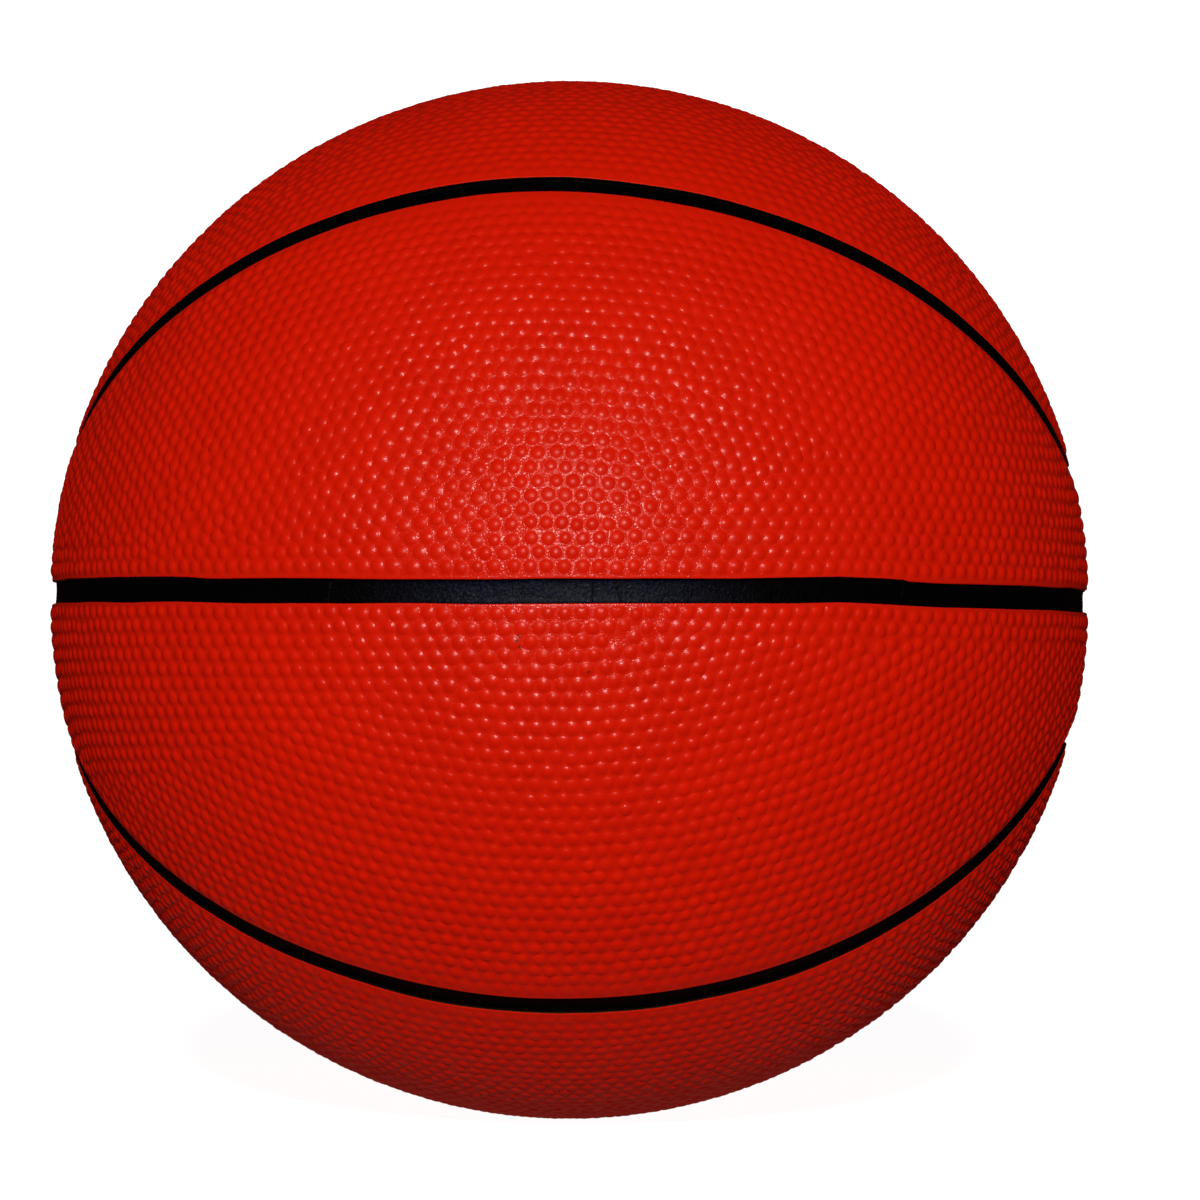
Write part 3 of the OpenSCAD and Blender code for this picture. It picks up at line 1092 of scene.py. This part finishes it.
def channel(name, node, edges, closed, seed, mirror=(1, 1, 1), dip=0.0, sheen=0.0):
    """A black strip between two lines of directions, with an uneven top. dip is how far cracks sink
    below it and how much painted shade darkens them, sheen how much brighter painted sheen the
    strip gets, both at each step."""
    rng = np.random.default_rng(seed)
    lower, upper = edges
    steps = len(lower)
    mesh = Mesh()
    rows = []
    for share, up in CHANNEL_RINGS:
        place = unit(lower * (1 - share) + upper * share)
        uneven = CHANNEL_GRAIN_H * rng.normal(size=steps)
        uneven = uneven * (CHANNEL_MIDDLE[0] < share < CHANNEL_MIDDLE[1])
        wave = CHANNEL_WAVE_H * smooth_noise(rng, steps, CHANNEL_WAVE_SPAN)
        height = FLOOR_R + up + uneven + wave - dip
        rows.append(mesh.add(place * height[:, None], edge=share, dome=dip, tone=sheen))
    low, high = (mesh.add(line * STRIP_BOTTOM_R) for line in edges)
    rows += [high, low]
    for a, b in zip(rows, rows[1:] + rows[:1]):
        mesh.strip(a, b, closed)
    if not closed:
        mesh.face(*(row[:1] for row in reversed(rows)))
        mesh.face(*(row[-1:] for row in rows))
    finished(mesh.build(name, mirror), channel_rubber, "channel_rubber", node)


# Hairline cracks across the front of the equator: where each crosses the lower and
# the upper edge of the channel, in pixels of the photo. Between the two columns of
# SHEEN_PX the channel gets painted sheen, a brighter bluish colour where the key lamp's
# highlight falls, and less of it some way beyond them.
CRACKS = ((326, 330), (592, 594), (622, 609), (903, 908), (930, 926))
CRACK_W = 0.22
CRACK_DEPTH = 0.28
EQUATOR_Y_PX = 591
SHEEN_PX = (430, 690)
SHEEN_END = 1.6


def turn_at(x):
    """The angle round the equator at a pixel column of the photo."""
    place = seen_at(x, EQUATOR_Y_PX)
    return math.atan2(place[0], -place[1])


def cracked(turn, side):
    """The angles with three more at every crack, and how deep the crack is at each."""
    half = CRACK_W / 2 / BALL_R
    middles = np.array([turn_at(crack[side]) for crack in CRACKS]) % (2 * math.pi)
    joined = np.concatenate([turn, middles - half, middles, middles + half])
    depth = np.zeros(len(joined))
    depth[len(turn) + len(middles) : -len(middles)] = CRACK_DEPTH
    order = np.argsort(joined)
    return joined[order], depth[order]


round_count = int(2 * math.pi * BALL_R / STRIP_STEP)
turn = np.linspace(0, 2 * math.pi, round_count, endpoint=False)
first_turn, last_turn = (turn_at(x) for x in SHEEN_PX)
middle_turn, reach = (first_turn + last_turn) / 2, (last_turn - first_turn) / 2
low_turn, dip = cracked(turn, 0)
high_turn, _ = cracked(turn, 1)
off = np.abs((low_turn - middle_turn + math.pi) % (2 * math.pi) - math.pi) / reach
sheen = np.clip(SHEEN_END - off, 0, 1)
equator = (level_line(-strip_half, low_turn), level_line(strip_half, high_turn))
channel("channel_equator", "equator_strip", equator, True, EQUATOR_SEED, dip=dip, sheen=sheen)


def loop_line(shift):
    """The whole loop moved toward the cap by shift, anticlockwise seen from above."""
    front = loop_arc(shift, 0.0)[::-1]
    back = front[::-1] * (1, -1, 1)
    return np.concatenate([front[:-1], back[:-1]])


loop_count = int(parts_of(loop_line(0), STRIP_STEP))
loop_edges = []
for shift in (-strip_half, strip_half):
    line = loop_line(shift)
    loop_edges.append(resampled(np.concatenate([line, line[:1]]), loop_count)[:-1])
for word, seed, low in zip(("upper", "lower"), LOOP_SEEDS, (1, -1)):
    channel(f"channel_loop_{word}", f"{word}_loop_strip", loop_edges, True, seed, (1, 1, low))


def meridian_edge(y, first_z, last_z, over):
    """The line at that y, from the height first_z on the right to last_z, which lies
    beyond the top where over is set."""
    radius = math.sqrt(BALL_R**2 - y**2)
    start, end = math.asin(first_z / radius), math.asin(last_z / radius)
    end = math.pi - end if over else end
    count = int(abs(end - start) * radius / STRIP_STEP)
    return upright_line(y, np.linspace(start, end, count + 1))


loop_top, loop_bottom = (
    loop_arc(shift, LOOP_START)[0, 2] * BALL_R for shift in (strip_half, -strip_half)
)
arc_edges, link_edges = (
    [meridian_edge(y, *heights) for y in (strip_half, -strip_half)]
    for heights in ((loop_top, loop_top, True), (strip_half, loop_bottom, False))
)
for word, low in (("upper", 1), ("lower", -1)):
    name, node = f"channel_meridian_{word}", f"{word}_meridian_strip"
    channel(name, node, arc_edges, False, MERIDIAN_SEED, (1, 1, low))
    for hand, side in (("right", 1), ("left", -1)):
        name, node = f"channel_link_{word}_{hand}", f"link_strip_{word}_{hand}"
        channel(name, node, link_edges, False, LINK_SEED, (side, 1, low))

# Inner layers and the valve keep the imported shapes: node, slot, colour, roughness and
# waves a metre of the grain
INNER = (
    ("carcass", "carcass_rubber", (0.03, 0.028, 0.028), 0.8, 900),
    ("winding", "thread", (0.7, 0.66, 0.56), 0.9, 1800),
    ("bladder", "bladder_rubber", (0.015, 0.015, 0.017), 0.5, 700),
    ("valve_patch", "patch_rubber", (0.08, 0.075, 0.07), 0.8, 1200),
    ("valve_housing", "valve_rubber", (0.02, 0.02, 0.022), 0.5, 1500),
    ("valve_core", "core_rubber", (0.035, 0.035, 0.038), 0.5, 1500),
)
for node, slot, colour, roughness, waves in INNER:
    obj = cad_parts[node]
    obj.data.materials.clear()
    obj.data.materials.append(plain_material(slot, colour, roughness, waves))
    obj.data.shade_smooth()

# Studio: a pale round floor that curves up into a wall all round
STUDIO_R = 3000.0
STUDIO_CURVE_R = 900.0
STUDIO_CURVE_RINGS = 25
STUDIO_WALL_H = 2600.0
STUDIO_SIDES = 96
STUDIO_GLOW = 0.96
STUDIO_ALBEDO = 0.35
STUDIO_ROUGHNESS = 0.9


def backdrop():
    """The floor and wall, which only the camera sees."""
    rest_z = -(BALL_R + PEBBLE_H)
    flat_r = STUDIO_R - STUDIO_CURVE_R
    curve = np.linspace(0, math.pi / 2, STUDIO_CURVE_RINGS)
    radii = [flat_r / 2, *(flat_r + STUDIO_CURVE_R * np.sin(curve)), STUDIO_R]
    heights = [0, *(STUDIO_CURVE_R * (1 - np.cos(curve))), STUDIO_WALL_H]
    turn = np.linspace(0, 2 * math.pi, STUDIO_SIDES, endpoint=False)
    points = [(0, 0, rest_z * MM)]
    for radius, height in zip(radii, heights):
        z = (rest_z + height) * MM
        points += [(radius * math.cos(a) * MM, radius * math.sin(a) * MM, z) for a in turn]
    faces = [(0, 1 + k, 1 + (k + 1) % STUDIO_SIDES) for k in range(STUDIO_SIDES)]
    for row in range(len(radii) - 1):
        first = 1 + row * STUDIO_SIDES
        for k in range(STUDIO_SIDES):
            here, follow = first + k, first + (k + 1) % STUDIO_SIDES
            faces.append((here, here + STUDIO_SIDES, follow + STUDIO_SIDES, follow))
    mesh = bpy.data.meshes.new("backdrop")
    mesh.from_pydata(points, [], faces)
    mesh.shade_smooth()
    obj = bpy.data.objects.new("backdrop", mesh)
    bpy.context.scene.collection.objects.link(obj)
    pale = (STUDIO_ALBEDO, STUDIO_ALBEDO, STUDIO_ALBEDO)
    material, shade, sockets = new_material("pale_floor", STUDIO_ROUGHNESS, pale, 0.0)
    shade.feed(sockets["Emission Color"], (1, 1, 1))
    shade.feed(sockets["Emission Strength"], STUDIO_GLOW)
    obj.data.materials.append(material)
    # The floor and wall throw no light back on the ball, as if they were far away
    obj.visible_diffuse = False
    obj.visible_glossy = False
    obj.visible_shadow = False


backdrop()

# Lamps: degrees above and right of the camera, strength, angle and colour
LAMPS = (
    ("key", 18.5, -0.6, 2.95, 4, (1, 1, 1)),
    ("bounce", -116, 0, 0.49, 90, (1.0, 0.19, 0.15)),
    ("rear", 180, 0, 2.4, 1, (1, 1, 1)),
)
for name, above, right, strength, angle, colour in LAMPS:
    above, right = math.radians(above), math.radians(right)
    direction = toward * math.cos(above) * math.cos(right)
    direction = direction + view_up * math.sin(above) + view_right * math.sin(right)
    lamp = bpy.data.lights.new(name, "SUN")
    lamp.energy = strength
    lamp.angle = math.radians(angle)
    lamp.color = colour
    obj = bpy.data.objects.new(name, lamp)
    bpy.context.scene.collection.objects.link(obj)
    obj.rotation_euler = (-Vector(direction)).to_track_quat("-Z", "Y").to_euler()

# The surroundings are warm, lit in front and below, and dim behind and above
WORLD_TONES = ((0.3, (0.1, 0.035, 0.025)), (0.8, (0.015, 0.006, 0.004)))
WORLD_BEHIND = (0.5, 0.5)
WORLD_ABOVE = 0.25

world = bpy.data.worlds.new("studio")
world.use_nodes = True
shade = Shading(world.node_tree)
place = shade.nodes.new("ShaderNodeTexCoord")
split = shade.nodes.new("ShaderNodeSeparateXYZ")
shade.feed(split.inputs["Vector"], place.outputs["Generated"])
above = shade.calc("MULTIPLY", split.outputs["Z"], WORLD_ABOVE)
away = shade.calc("ADD", shade.share(split.outputs["Y"], *WORLD_BEHIND), above)
background = shade.nodes["Background"].inputs
shade.feed(background["Color"], shade.ramp(away, *WORLD_TONES))
shade.feed(background["Strength"], 1.0)
bpy.context.scene.world = world

# Camera
camera = bpy.data.cameras.new("camera")
camera.sensor_width = SENSOR_MM
camera.lens = focal_px * SENSOR_MM / IMAGE_PX
camera.shift_x = (IMAGE_PX / 2 - BALL_CENTRE_PX[0]) / IMAGE_PX
camera.shift_y = (BALL_CENTRE_PX[1] - IMAGE_PX / 2) / IMAGE_PX
camera.clip_start, camera.clip_end = CAMERA_CLIP
eye = bpy.data.objects.new("camera", camera)
turned = Matrix((view_right, view_up, toward)).transposed().to_4x4()
turned.translation = Vector(toward * CAMERA_RADII * BALL_R * MM)
eye.matrix_world = turned
bpy.context.scene.collection.objects.link(eye)
bpy.context.scene.camera = eye
bpy.context.scene.view_settings.view_transform = "Standard"
